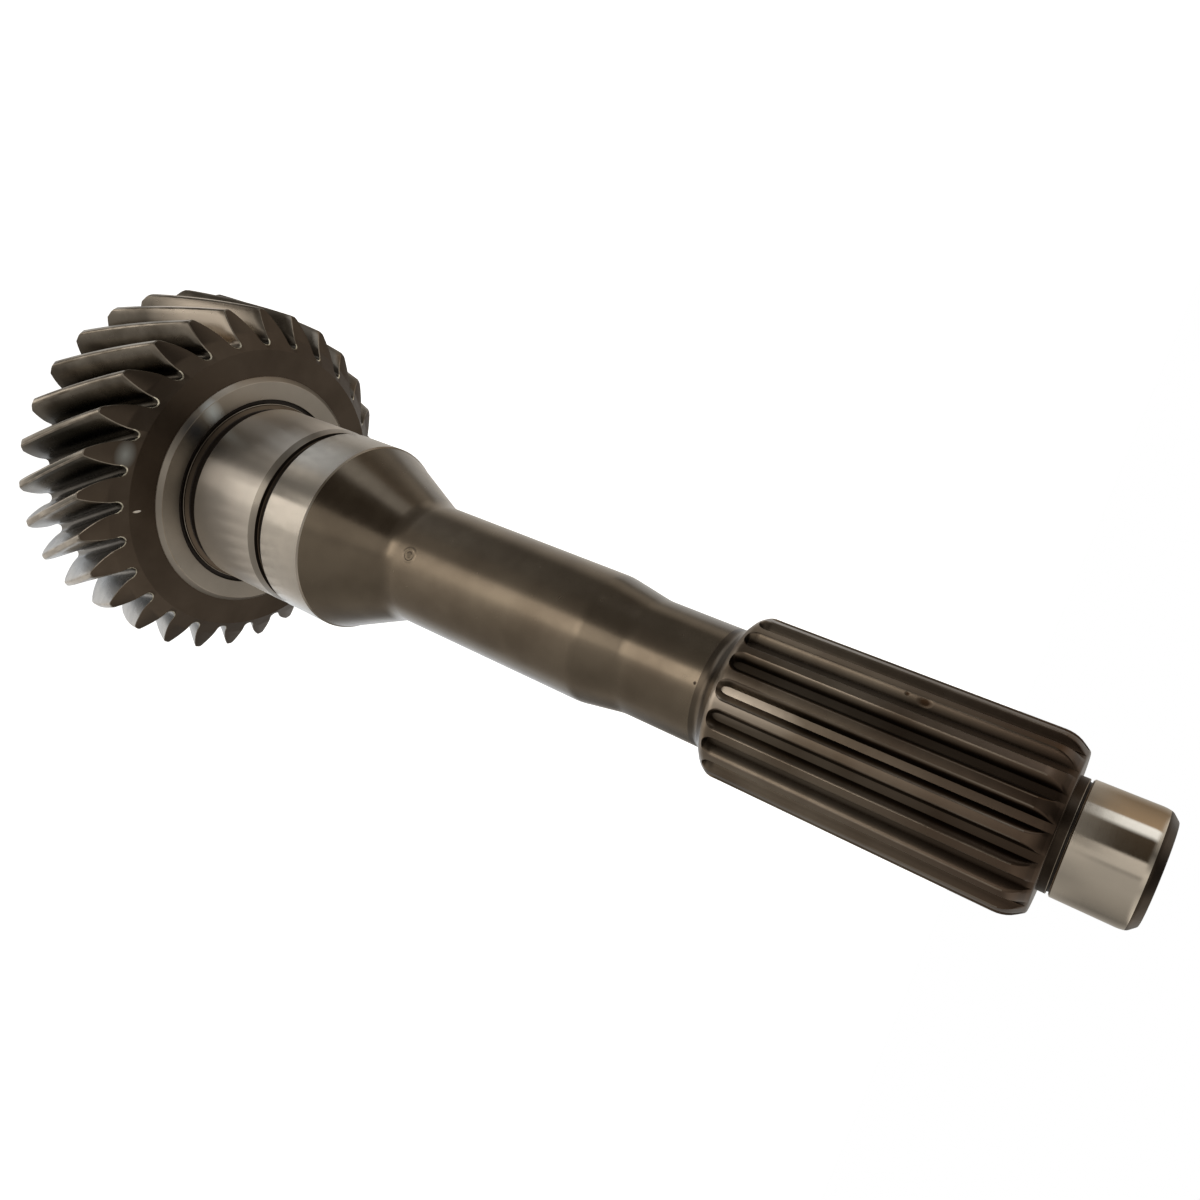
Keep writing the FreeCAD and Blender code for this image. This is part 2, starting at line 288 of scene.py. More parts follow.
# Corners of the turned outline are (radius, height, rounding, finish of what follows) in mm.
body_corners = [
    (0.0, 32.0, 0.0, SKIN),
    (20.0, 32.0, 0.5, GROUND),
    (20.0, 1.5, 0.2, SKIN),
    (21.5, 0.0, 0.2, SKIN),
    (34.05, 0.0, 0.3, SKIN),
    (35.05, 1.0, 0.3, GROUND),
    (36.3, 11.0, 0.0, SKIN),
    (36.6, 11.0, 0.0, SKIN),
    (36.6, 56.4, 0.0, GROUND),
    (36.3, 56.4, 0.0, GROUND),
    (36.3, 59.1, 0.25, RING),
    (35.0, 60.4, 0.25, RING),
    (29.5, 60.4, 0.12, GROOVE),
    (29.5, 59.2, 0.1, GROOVE),
    (28.2, 59.2, 0.1, GROOVE),
    (28.2, 60.4, 0.15, RIB),
    (27.7, 60.4, 0.2, RIB),
    (26.7, 60.95, 0.15, GROOVE),
    (26.4, 61.1, 0.1, GROOVE),
    (26.4, 64.2, 0.2, GROOVE),
    (27.2, 64.2, 0.1, WORN),
    (27.5, 64.5, 0.1, GROUND),
    (27.5, 88.7, 0.3, RING),
    (26.9, 90.7, 0.12, GROOVE),
    (25.6, 90.7, 0.3, RIB),
    (25.6, 91.4, 0.0, GROOVE),
    (25.6, 93.9, 0.2, GROOVE),
    (27.25, 93.9, 0.1, WORN),
    (27.5, 94.15, 0.1, LAND),
    (27.5, 108.8, 0.12, WORN),
    (27.1, 109.2, 0.15, SKIN),
    (17.0, 131.5, 12.0, SKIN),
    (17.0, 193.5, 14.0, SKIN),
    (14.9, 205.7, 14.0, SKIN),
    (14.9, 230.0, 0.0, SKIN),
    (12.25, 230.0, 0.0, SKIN),
    # The collar behind the spline takes the painted shade finish from here.
    (12.25, 302.9, 0.0, PAINTED_SHADE),
    (12.25, 305.1, 0.15, GROOVE),
    (11.65, 305.1, 0.1, GROOVE),
    (11.65, 305.6, 0.1, GROOVE),
    (12.2, 305.6, 0.05, POLISHED),
    (12.5, 305.9, 0.1, POLISHED),
    (12.5, 318.9, 6.0, POLISHED),
    # The nose's rounding and end face take the painted shade finish from here.
    (12.2, 320.1, 1.5, PAINTED_SHADE),
    (10.7, 321.6, 0.6, PAINTED_SHADE),
    (4.0, 321.6, 0.12, GROUND),
    (2.0, 318.14, 0.1, SKIN),
    (2.0, 313.14, 0.1, SKIN),
    (0.0, 311.98, 0.0, SKIN),
]
arc_step = math.radians(9.0)
largest_worn_round = 0.3
body_segments = 240
smallest_radius = 1e-6
weld_distance = 1e-6
smallest_edge = 1e-7


def outline(corners):
    """Points of an outline with its corners rounded, and the finish of each stretch."""
    points = []
    stretches = []
    for index, (radius, height, rounding, finish) in enumerate(corners):
        here = Vector((radius, height))
        if rounding == 0.0:
            points.append(here)
            stretches.append(finish)
            continue
        back = (Vector(corners[index - 1][:2]) - here).normalized()
        forth = (Vector(corners[index + 1][:2]) - here).normalized()
        bend = math.pi - back.angle(forth)
        tangent = rounding * math.tan(bend / 2.0)
        centre = here + (back + forth).normalized() * rounding / math.cos(bend / 2.0)
        first_arm = here + back * tangent - centre
        last_arm = here + forth * tangent - centre
        steps = max(2, math.ceil(bend / arc_step))
        bulges = forth.cross(back) > 0.0
        arc_finish = WORN if bulges and rounding <= largest_worn_round else finish
        for step in range(steps + 1):
            share = step / steps
            arm = first_arm * math.sin((1.0 - share) * bend) + last_arm * math.sin(share * bend)
            points.append(centre + arm / math.sin(bend))
            stretches.append(arc_finish if step < steps else finish)
    return points, stretches


def ring_of(mesh, radius, height, angles):
    """Vertices round the axis at a radius and height, or one vertex on the axis."""
    if radius < smallest_radius:
        return [mesh.verts.new((0.0, 0.0, height * millimetre))] * len(angles)
    ring = []
    for angle in angles:
        place = Vector((radius * math.cos(angle), radius * math.sin(angle), height))
        ring.append(mesh.verts.new(place * millimetre))
    return ring


def faces_between(mesh, one, other, finish, closed=False):
    """Faces between two rows of vertices, leaving out corners that fall together."""
    made = []
    count = len(one)
    for index in range(count if closed else count - 1):
        after = (index + 1) % count
        loop = []
        for vertex in (one[index], one[after], other[after], other[index]):
            if vertex not in loop:
                loop.append(vertex)
        if len(loop) > 2:
            made.append(mesh.faces.new(loop))
            made[-1].material_index = finish
    return made


def object_of(name, mesh, materials=()):
    """Object from a bmesh whose doubles are merged."""
    bmesh.ops.remove_doubles(mesh, verts=mesh.verts[:], dist=weld_distance)
    bmesh.ops.dissolve_degenerate(mesh, edges=mesh.edges[:], dist=smallest_edge)
    bmesh.ops.recalc_face_normals(mesh, faces=mesh.faces[:])
    data = bpy.data.meshes.new(name)
    mesh.to_mesh(data)
    mesh.free()
    for material in materials:
        data.materials.append(material)
    made = bpy.data.objects.new(name, data)
    bpy.context.scene.collection.objects.link(made)
    return made


mesh = bmesh.new()
round_angles = [2.0 * math.pi * step / body_segments for step in range(body_segments)]
body_points, body_stretches = outline(body_corners)
before = ring_of(mesh, *body_points[0], round_angles)
for index in range(1, len(body_points)):
    ring = ring_of(mesh, *body_points[index], round_angles)
    faces_between(mesh, before, ring, body_stretches[index - 1], closed=True)
    before = ring
body = object_of("turned_body", mesh, finishes)


# Helical gear: twenty-eight left-hand teeth hobbed in the forging, with rounded roots. Their
# front ends are turned to a bevel, and bright burrs stand at the bottoms of the gaps there.
gear_teeth = 28
gear_module = 3.2
gear_addendum = 4.0
gear_dedendum = 5.6
gear_pressure = math.radians(20.0)
helix_angle = math.radians(29.0)
pitch_radius = gear_teeth * gear_module / (2.0 * math.cos(helix_angle))
gear_tip = pitch_radius + gear_addendum
gear_root = pitch_radius - gear_dedendum
root_round = 1.6
gear_foot = gear_root + root_round
gear_rear = 20.5
gear_front = 58.9
bevel_inset = 1.3
bevel_radius = gear_root - bevel_inset
bevel_depth = 7.5
rear_chamfer = 1.5
gear_inside = 30.0
tip_round = 0.4
edge_break = 0.2
gear_turn_rate = -math.tan(helix_angle) / pitch_radius
gear_phase = math.radians(4.8)
transverse = math.atan(math.tan(gear_pressure) / math.cos(helix_angle))
base_radius = pitch_radius * math.cos(transverse)
flank_steps = 6
root_steps = 4
gear_rows = 16
foot_steps = 4
flank_colour = (0.265, 0.236, 0.198)
flank_shade = (0.135, 0.116, 0.093)
face_colour = (0.089, 0.069, 0.052)
face_shade = (0.066, 0.050, 0.037)
edge_colour = (0.340, 0.300, 0.250)
edge_shade = (0.170, 0.145, 0.115)
burr_colour = (0.950, 0.900, 0.740)
burr_shade = (0.120, 0.100, 0.065)
scuffed_colour = (0.30, 0.31, 0.295)
# Painted highlight and painted shade for groups of the gear's flanks.
painted_flank_highlight = (0.78, 0.68, 0.565)
shaded_colour = (0.05, 0.045, 0.035)
bared_colour = (0.90, 0.85, 0.78)

# The flank colour is dimmed towards the roots and raised at the tips: painted shade in the gaps
# and painted light on the tips.
flank_shade_levels = [(45.6, 0.22), (47.5, 0.42), (50.5, 0.82), (54.0, 1.05), (55.3, 1.25)]
flank_steel = steel(
    "tooth_flank", flank_colour, flank_shade, 0.29, grain=0.3, marks=0.1, cloud_size=9.0,
    by_radius=flank_shade_levels,
    # The first patch is a painted highlight on a group of flanks, the second painted shade on the
    # flanks next to it.
    patches=[
        ((-43.0, -31.5, 43.0), (15.0, 15.0, 21.0), 0.0, painted_flank_highlight, 0.45, 0.0),
        ((12.5, -50.0, 38.0), (20.0, 9.0, 22.0), 0.0, shaded_colour, 0.5, 0.0)])
face_steel = steel(
    "gear_face", face_colour, face_shade, 0.36, along=0.5, grain=0.2, marks=0.5,
    patches=[
        ((19.0, -37.3, 58.9), (1.4, 0.4, 1.0), -63.0, bared_colour, 0.7, 0.1),
        ((5.4, -46.5, 57.1), (4.6, 3.0, 2.6), 7.0, scuffed_colour, 0.0, 0.0)])
edge_steel = steel("tooth_edge", edge_colour, edge_shade, 0.32, grain=0.3, cloud_size=5.0)
burr_steel = steel("burr", burr_colour, burr_shade, 0.42, grain=1.0, cloud_size=1.6)
SIDE, END, EDGE, BURR = range(4)


def involute(angle):
    """Involute function of a pressure angle."""
    return math.tan(angle) - angle


def tooth_half_angle(radius):
    """Half the angle that a gear tooth fills at a radius."""
    local = math.acos(min(1.0, base_radius / radius))
    return math.pi / (2.0 * gear_teeth) + involute(transverse) - involute(local)


def gear_half_section():
    """(radius, angle) points from the middle of a crest to the middle of a gap."""
    corner = tooth_half_angle(gear_tip)
    share = 1.0 - math.sqrt(0.5)
    points = [
        (gear_tip, 0.0),
        (gear_tip, corner - tip_round / gear_tip),
        (gear_tip - share * tip_round, corner - share * tip_round / gear_tip),
    ]
    top = gear_tip - tip_round
    for step in range(flank_steps + 1):
        radius = top + (gear_foot - top) * step / flank_steps
        points.append((radius, tooth_half_angle(radius)))
    half_pitch = math.pi / gear_teeth
    gap = half_pitch - tooth_half_angle(gear_foot)
    for step in range(1, root_steps + 1):
        around = math.pi / 2.0 * step / root_steps
        radius = gear_foot - root_round * math.sin(around)
        points.append((radius, half_pitch - gap * math.cos(around)))
    return points


def toothed_sector(name, half, root_points, tip_points, ring_radius, inside, rear_at, front_at,
                   turn_rate, rows, phase):
    """One tooth of a toothed ring, from gap to gap, with its end faces and its edges broken."""
    mesh = bmesh.new()
    finish = mesh.faces.layers.int.new("finish")
    front_plane = front_at(ring_radius)
    full = [(radius, -angle) for radius, angle in reversed(half)] + half[1:]
    section = [Vector((r * math.cos(a), r * math.sin(a))) for r, a in full]
    last = len(section) - 1
    left, right = root_points, last - root_points
    tip_edges = set(range(tip_points, tip_points + 2)) if tip_points else set()
    inset = []
    for index, here in enumerate(section):
        if index in (0, last):
            outward = here.normalized()
        else:
            chord = section[index + 1] - section[index - 1]
            outward = Vector((chord.y, -chord.x)).normalized()
        inset.append(here - outward * edge_break)

    def place(flat, height):
        angle = phase + turn_rate * (height - front_plane)
        turned = Matrix.Rotation(angle, 2) @ flat
        return mesh.verts.new(Vector((turned.x, turned.y, height)) * millimetre)

    grid = [[place(flat, rear_at(flat.length)) for flat in inset]]
    for row in range(rows + 1):
        line = []
        for flat in section:
            low = rear_at(flat.length) + edge_break
            high = front_at(flat.length) - edge_break
            line.append(place(flat, low + (high - low) * row / rows))
        grid.append(line)
    grid.append([place(flat, front_at(flat.length)) for flat in inset])
    for row in range(len(grid) - 1):
        strip = faces_between(mesh, grid[row], grid[row + 1], 0)
        for index, face in enumerate(strip):
            mirror = min(index, last - 1 - index)
            in_root = mirror < left
            at_front = row == len(grid) - 2
            if at_front or row == 0:
                face[finish] = BURR if in_root and at_front else EDGE
            elif last // 2 - 1 - mirror in tip_edges:
                face[finish] = EDGE
    inner_rings = []
    for line, height_at in ((grid[0], rear_at), (grid[-1], front_at)):
        made = []
        for index in range(left, last // 2):
            mirror = last - index
            loop = [line[index], line[index + 1], line[mirror - 1], line[mirror]]
            if loop[1] == loop[2]:
                loop.pop(2)
            made.append(mesh.faces.new(loop))
        bearings = [math.atan2(flat.y, flat.x) for flat in inset]
        feet = bearings[right] - bearings[left]
        between = [bearings[left] + feet * step / foot_steps for step in range(1, foot_steps)]
        ring_angles = bearings[:left + 1] + between + bearings[right:]
        circles = []
        for radius in (ring_radius, inside):
            circle = []
            for angle in ring_angles:
                flat = Vector((radius * math.cos(angle), radius * math.sin(angle)))
                circle.append(place(flat, height_at(ring_radius)))
            circles.append(circle)
        outer, inner = circles
        made += faces_between(mesh, outer[:left + 1], line[:left + 1], 0)
        foot = outer[left:left + foot_steps + 1]
        made.append(mesh.faces.new(foot + [line[right], line[left]]))
        made += faces_between(mesh, outer[left + foot_steps:], line[right:], 0)
        made += faces_between(mesh, inner, outer, 0)
        for face in made:
            face[finish] = END
        inner_rings.append(inner)
    faces_between(mesh, inner_rings[0], inner_rings[1], 0)
    return object_of(name, mesh)


merge_distance = 0.004


def ring_tree(name, finish_count):
    """Geometry Nodes tree that repeats a sector round the axis and gives it its finishes."""
    tree = bpy.data.node_groups.new(name, "GeometryNodeTree")
    interface = tree.interface
    interface.new_socket("Geometry", in_out="INPUT", socket_type="NodeSocketGeometry")
    interface.new_socket("Count", in_out="INPUT", socket_type="NodeSocketInt")
    for index in range(finish_count):
        interface.new_socket("Finish %d" % index, in_out="INPUT", socket_type="NodeSocketMaterial")
    interface.new_socket("Geometry", in_out="OUTPUT", socket_type="NodeSocketGeometry")
    nodes = tree.nodes
    links = tree.links
    given = nodes.new("NodeGroupInput")
    result = nodes.new("NodeGroupOutput")
    spots = nodes.new("GeometryNodePoints")
    copies = nodes.new("GeometryNodeInstanceOnPoints")
    number = nodes.new("GeometryNodeInputIndex")
    step = nodes.new("ShaderNodeMath")
    step.operation = "DIVIDE"
    step.inputs[0].default_value = 2.0 * math.pi
    bearing = nodes.new("ShaderNodeMath")
    bearing.operation = "MULTIPLY"
    turned = nodes.new("ShaderNodeCombineXYZ")
    solid = nodes.new("GeometryNodeRealizeInstances")
    joined = nodes.new("GeometryNodeMergeByDistance")
    joined.inputs["Distance"].default_value = merge_distance * millimetre
    mark = nodes.new("GeometryNodeInputNamedAttribute")
    mark.data_type = "INT"
    mark.inputs["Name"].default_value = "finish"
    links.new(given.outputs["Count"], spots.inputs["Count"])
    links.new(spots.outputs[0], copies.inputs["Points"])
    links.new(given.outputs["Geometry"], copies.inputs["Instance"])
    links.new(given.outputs["Count"], step.inputs[1])
    links.new(step.outputs[0], bearing.inputs[0])
    links.new(number.outputs[0], bearing.inputs[1])
    links.new(bearing.outputs[0], turned.inputs["Z"])
    links.new(turned.outputs[0], copies.inputs["Rotation"])
    links.new(copies.outputs[0], solid.inputs[0])
    links.new(solid.outputs[0], joined.inputs["Geometry"])
    shape = joined.outputs[0]
    for index in range(finish_count):
        dress = nodes.new("GeometryNodeSetMaterial")
        links.new(shape, dress.inputs["Geometry"])
        links.new(given.outputs["Finish %d" % index], dress.inputs["Material"])
        if index:
            same = nodes.new("FunctionNodeCompare")
            same.data_type = "INT"
            same.operation = "EQUAL"
            whole = [socket for socket in same.inputs if socket.type == "INT"]
            links.new(mark.outputs["Attribute"], whole[0])
            whole[1].default_value = index
            links.new(same.outputs["Result"], dress.inputs["Selection"])
        shape = dress.outputs[0]
    links.new(shape, result.inputs[0])
    return tree


def repeated(sector, tree, count, materials):
    """Plain mesh object of a sector repeated round the axis by the tree."""
    modifier = sector.modifiers.new("repeat", "NODES")
    modifier.node_group = tree
    values = {"Count": count}
    for index, material in enumerate(materials):
        values["Finish %d" % index] = material
    for item in tree.interface.items_tree:
        if item.in_out == "INPUT" and item.name in values:
            modifier[item.identifier] = values[item.name]
    bpy.context.view_layer.update()
    graph = bpy.context.evaluated_depsgraph_get()
    data = bpy.data.meshes.new_from_object(sector.evaluated_get(graph))
    name = sector.name
    sector.modifiers.remove(modifier)
    bpy.data.objects.remove(sector)
    made = bpy.data.objects.new(name + "_ring", data)
    bpy.context.scene.collection.objects.link(made)
    return made


def gear_rear_at(radius):
    """Height of the gear's rear end, chamfered at the tips."""
    return gear_rear + max(0.0, radius - (gear_tip - rear_chamfer))


def gear_front_at(radius):
    """Height of the gear's front end, bevelled from the roots out."""
    slope = bevel_depth / (gear_tip - bevel_radius)
    return gear_front - slope * max(0.0, radius - bevel_radius)


gear_finishes = [flank_steel, face_steel, edge_steel, burr_steel]
ring_of_copies = ring_tree("repeat_round_the_axis", len(gear_finishes))
gear_sector = toothed_sector(
    "gear", gear_half_section(), root_steps, 1, bevel_radius, gear_inside,
    gear_rear_at, gear_front_at, gear_turn_rate, gear_rows, gear_phase)
gear = repeated(gear_sector, ring_of_copies, gear_teeth, gear_finishes)


# Clutch teeth: thirty-six straight teeth behind the gear, which the shift sleeve slides on
# to. They are hidden in the photograph and plain, with a chamfer all round at the rear.
clutch_teeth = 36
clutch_tip = 42.0
clutch_root = 39.0
clutch_rear = 11.0
clutch_front = 18.0
clutch_chamfer = 1.5
clutch_inside = 30.0
clutch_ring_radius = 38.0
clutch_rows = 2
clutch_tip_share = 0.28
clutch_chamfer_share = 0.39
clutch_foot_share = 0.5
clutch_gap_share = 0.75


def clutch_rear_at(radius):
    """Height of the clutch teeth's rear end, chamfered at the tips."""
    return clutch_rear + max(0.0, radius - (clutch_tip - clutch_chamfer))


def clutch_front_at(radius):
    """Height of the clutch teeth's front end, the same at every radius."""
    return clutch_front


half_pitch = math.pi / clutch_teeth
clutch_half = [
    (clutch_tip, 0.0),
    (clutch_tip, clutch_tip_share * half_pitch),
    (clutch_tip - clutch_chamfer, clutch_chamfer_share * half_pitch),
    (clutch_root, clutch_foot_share * half_pitch),
    (clutch_root, clutch_gap_share * half_pitch),
    (clutch_root, half_pitch),
]
clutch_sector = toothed_sector(
    "clutch_teeth", clutch_half, 2, 0, clutch_ring_radius, clutch_inside,
    clutch_rear_at, clutch_front_at, 0.0, clutch_rows, 0.0)
clutch = repeated(clutch_sector, ring_of_copies, clutch_teeth, [skin, skin, worn, worn])


# Spline: eighteen straight involute teeth rolled near the nose for the clutch disc. Each gap
# runs out in a rounded end at the shoulder, and the far end of the blank is rounded over.
spline_teeth = 18
spline_pitch_radius = 18.0
spline_pressure = math.radians(30.0)
spline_module = 2.0
spline_shift = 0.9
spline_thickness = (
    spline_module * math.pi / 2.0 + 2.0 * spline_shift * math.tan(spline_pressure))
spline_root = 17.7
spline_edge = 0.16
flank_shares = (0.25, 0.5, 0.75, 1.0)
barrel_corners = [
    (0.0, 226.0, 0.0, SIDE),
    (14.905, 226.0, 0.0, SIDE),
    (14.905, 228.3, 2.5, SIDE),
    (19.1, 231.4, 0.4, SIDE),
    (19.8, 232.5, 1.0, SIDE),
    (19.8, 299.9, 7.0, SIDE),
    (17.2, 303.3, 0.8, SIDE),
    (0.0, 303.3, 0.0, SIDE),
]
shoulder_height = 231.9
gap_start = 234.8
end_wall_run = 0.5
fan_steps = 16
rim_passes = 12
rolled_colour = (0.225, 0.185, 0.142)
rolled_shade = (0.150, 0.115, 0.083)
far_colour = (0.125, 0.086, 0.061)
far_start = 258.0
far_end = 302.0
crest_colour = (0.270, 0.225, 0.180)
crest_shade = (0.130, 0.100, 0.075)
rust_colour = (0.035, 0.020, 0.011)
# Painted highlight for the near end of the spline.
lit_colour = (0.380, 0.330, 0.275)
# The spline colour is dimmed on the flanks and floors and full on the crests: painted shade in the
# gaps.
spline_shade_levels = [
    (17.65, 0.52), (17.80, 0.50), (17.95, 0.38), (18.5, 0.42), (19.2, 0.70), (19.7, 1.0)]
spline_steel = steel(
    "spline_steel", rolled_colour, rolled_shade, 0.30, along=0.4, grain=0.3, marks=0.1,
    by_radius=spline_shade_levels, far_tint=(far_colour, far_start, far_end),
    patches=[
        # The first patch is a painted highlight at the spline's near end; the other two are rust.
        ((1.6, -18.6, 236.0), (5.5, 4.0, 18.0), 0.0, lit_colour, 0.1, 0.0),
        ((-13.5, -13.4, 272.4), (1.1, 1.1, 1.8), 0.0, rust_colour, 0.4, 0.08),
        ((-13.9, -13.3, 268.6), (0.5, 0.5, 0.7), 0.0, rust_colour, 0.4, 0.08)])
crest_edge_steel = steel("crest_edge", crest_colour, crest_shade, 0.30, grain=0.5)

barrel_points = outline(barrel_corners)[0]


def blank_radius(height):
    """Radius of the spline's turned blank at a height."""
    for one, other in zip(barrel_points[1:], barrel_points[2:]):
        if height <= other.y and other.y > one.y:
            share = (height - one.y) / (other.y - one.y)
            return one.x + (other.x - one.x) * max(0.0, share)
    return barrel_points[-2].x


def gap_half_angle(radius):
    """Half the angle of a gap between spline teeth at a radius."""
    local = math.acos(spline_pitch_radius * math.cos(spline_pressure) / radius)
    half_tooth = spline_thickness / (2.0 * spline_pitch_radius)
    half_tooth += involute(spline_pressure) - involute(local)
    return math.pi / spline_teeth - half_tooth


def gap_levels(outside):
    """(radius, angle) points from the middle of a gap's floor up its flank to the crest."""
    top = max(outside, spline_root + spline_edge)
    floor_half = gap_half_angle(spline_root)
    levels = [(spline_root, 0.0), (spline_root, 0.5 * floor_half), (spline_root, floor_half)]
    for share in flank_shares:
        radius = spline_root + (top - spline_edge - spline_root) * share
        levels.append((radius, gap_half_angle(radius)))
    levels.append((top, gap_half_angle(top) + spline_edge / top))
    return [(min(radius, outside), angle) for radius, angle in levels]


def placed_row(mesh, stations):
    """Vertices at (radius, angle from the middle of the gap, height) stations in mm."""
    row = []
    for radius, angle, height in stations:
        bearing = angle + math.pi / spline_teeth
        place = Vector((radius * math.cos(bearing), radius * math.sin(bearing), height))
        row.append(mesh.verts.new(place * millimetre))
    return row


def spline_row(mesh, height, outside):
    """Row of vertices across one gap and half a tooth on each side."""
    levels = gap_levels(outside)
    crest = levels[-1][1]
    border = math.pi / spline_teeth
    levels += [(outside, (crest + border) / 2.0), (outside, border)]
    full = [(radius, -angle) for radius, angle in reversed(levels)] + levels[1:]
    return placed_row(mesh, [(radius, angle, height) for radius, angle in full])


def fan_line(mesh, swing):
    """Vertices from the middle of a gap's rounded end over its rim to the sector's border."""
    rim_height = gap_start
    for _ in range(rim_passes):
        outside = blank_radius(rim_height)
        rim_angle = gap_levels(outside)[-1][1]
        rim_height = gap_start - outside * math.sin(rim_angle) * math.sin(swing)
    rim_drop = gap_start - rim_height
    stations = []
    for index, (radius, angle) in enumerate(gap_levels(outside)):
        rise = max(0.0, radius - spline_root) / (outside - spline_root)
        drop = (rim_drop - end_wall_run * (1.0 - rise) * math.sin(swing)) * min(1.0, index / 2.0)
        stations.append((radius, angle * math.cos(swing), gap_start - drop))
    end = math.pi / spline_teeth
    corner = math.pi / 4.0
    if swing <= corner:
        border = (end, gap_start + (shoulder_height - gap_start) * swing / corner)
    elif swing >= math.pi - corner:
        border = (-end, gap_start + (shoulder_height - gap_start) * (math.pi - swing) / corner)
    else:
        border = (end * (math.pi / 2.0 - swing) / corner, shoulder_height)
    rim = stations[-1]
    for share in (0.5, 1.0):
        angle = rim[1] + (border[0] - rim[1]) * share
        height = rim[2] + (border[1] - rim[2]) * share
        stations.append((blank_radius(height), angle, height))
    return placed_row(mesh, stations)


mesh = bmesh.new()
finish = mesh.faces.layers.int.new("finish")
edge_strip = 6
crest_edge_strip = 2
crest_edge_end = 298.5
row_heights = [gap_start, 250.0, 270.0, 285.0]
lines = [fan_line(mesh, math.pi * step / fan_steps) for step in range(fan_steps + 1)]
for one, other in zip(lines, lines[1:]):
    for index, face in enumerate(faces_between(mesh, one, other, 0)):
        face[finish] = EDGE if len(face.verts) == 4 and index == edge_strip else SIDE
quarter = fan_steps // 4
across_steps = fan_steps - 2 * quarter
end = math.pi / spline_teeth
border_angles = [end * (2.0 - 2.0 * step / across_steps) for step in range(across_steps + 1)]
before = [line[-1] for line in lines[quarter:-quarter]]
for corner in reversed([p for p in barrel_points if p.y < shoulder_height]):
    ring = ring_of(mesh, corner.x, corner.y, border_angles)
    faces_between(mesh, before, ring, 0)
    before = ring
rows = [(height, blank_radius(height)) for height in row_heights]
rows += [(p.y, p.x) for p in barrel_points if p.y > row_heights[-1] and p.x > 0.0]
before = None
for height, outside in rows:
    row = spline_row(mesh, height, outside)
    if before:
        strip = faces_between(mesh, before, row, 0)
        for index, face in enumerate(strip):
            from_border = min(index, len(strip) - 1 - index)
            if height < crest_edge_end and from_border == crest_edge_strip:
                face[finish] = EDGE
    before = row
tail = mesh.verts.new((0.0, 0.0, barrel_points[-1].y * millimetre))
faces_between(mesh, before, [tail] * len(before), 0)
spline_sector = object_of("spline", mesh)
spline_finishes = [spline_steel, spline_steel, crest_edge_steel, spline_steel]
spline = repeated(spline_sector, ring_of_copies, spline_teeth, spline_finishes)


# The finished shaft: body, gear, clutch teeth and spline are one piece of steel, so they are
# one mesh here, shaded smooth but for its real edges.
sharp_angle = math.radians(30.0)
for made in bpy.context.view_layer.objects:
    made.select_set(False)
for made in (gear, clutch, spline, body):
    made.select_set(True)
bpy.context.view_layer.objects.active = body
bpy.ops.object.join()
shaft = body
shaft.name = "input_shaft_finished"
shaft.data.name = "input_shaft_finished"
mesh = bmesh.new()
mesh.from_mesh(shaft.data)
bmesh.ops.recalc_face_normals(mesh, faces=mesh.faces[:])
mesh.to_mesh(shaft.data)
mesh.free()
shaft.data.shade_smooth()
shaft.data.set_sharp_from_angle(angle=sharp_angle)
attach(shaft, "root")
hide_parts(shaft_node)


# Studio: a pale floor and a plain white surround, and light that comes in soft bands from
# all sides, which draw the long bright and dark stripes along the polished steel.
floor_half_size = 3.0
floor_grey = 0.9
floor_roughness = 0.9
floor_glow = 0.95

floor_mesh = bmesh.new()
bmesh.ops.create_grid(floor_mesh, x_segments=1, y_segments=1, size=floor_half_size)
floor_data = bpy.data.meshes.new("floor")
floor_mesh.to_mesh(floor_data)
floor_mesh.free()
floor = bpy.data.objects.new("floor", floor_data)
bpy.context.scene.collection.objects.link(floor)
floor_material = bpy.data.materials.new("pale_floor")
floor_material.use_nodes = True
floor_shader = floor_material.node_tree.nodes["Principled BSDF"]
floor_shader.inputs["Base Color"].default_value = (floor_grey,) * 3 + (1.0,)
floor_shader.inputs["Roughness"].default_value = floor_roughness
floor_shader.inputs["Specular IOR Level"].default_value = 0.0
floor_shader.inputs["Emission Color"].default_value = (1.0, 1.0, 1.0, 1.0)
floor_shader.inputs["Emission Strength"].default_value = floor_glow
floor_data.materials.append(floor_material)
floor.visible_glossy = False

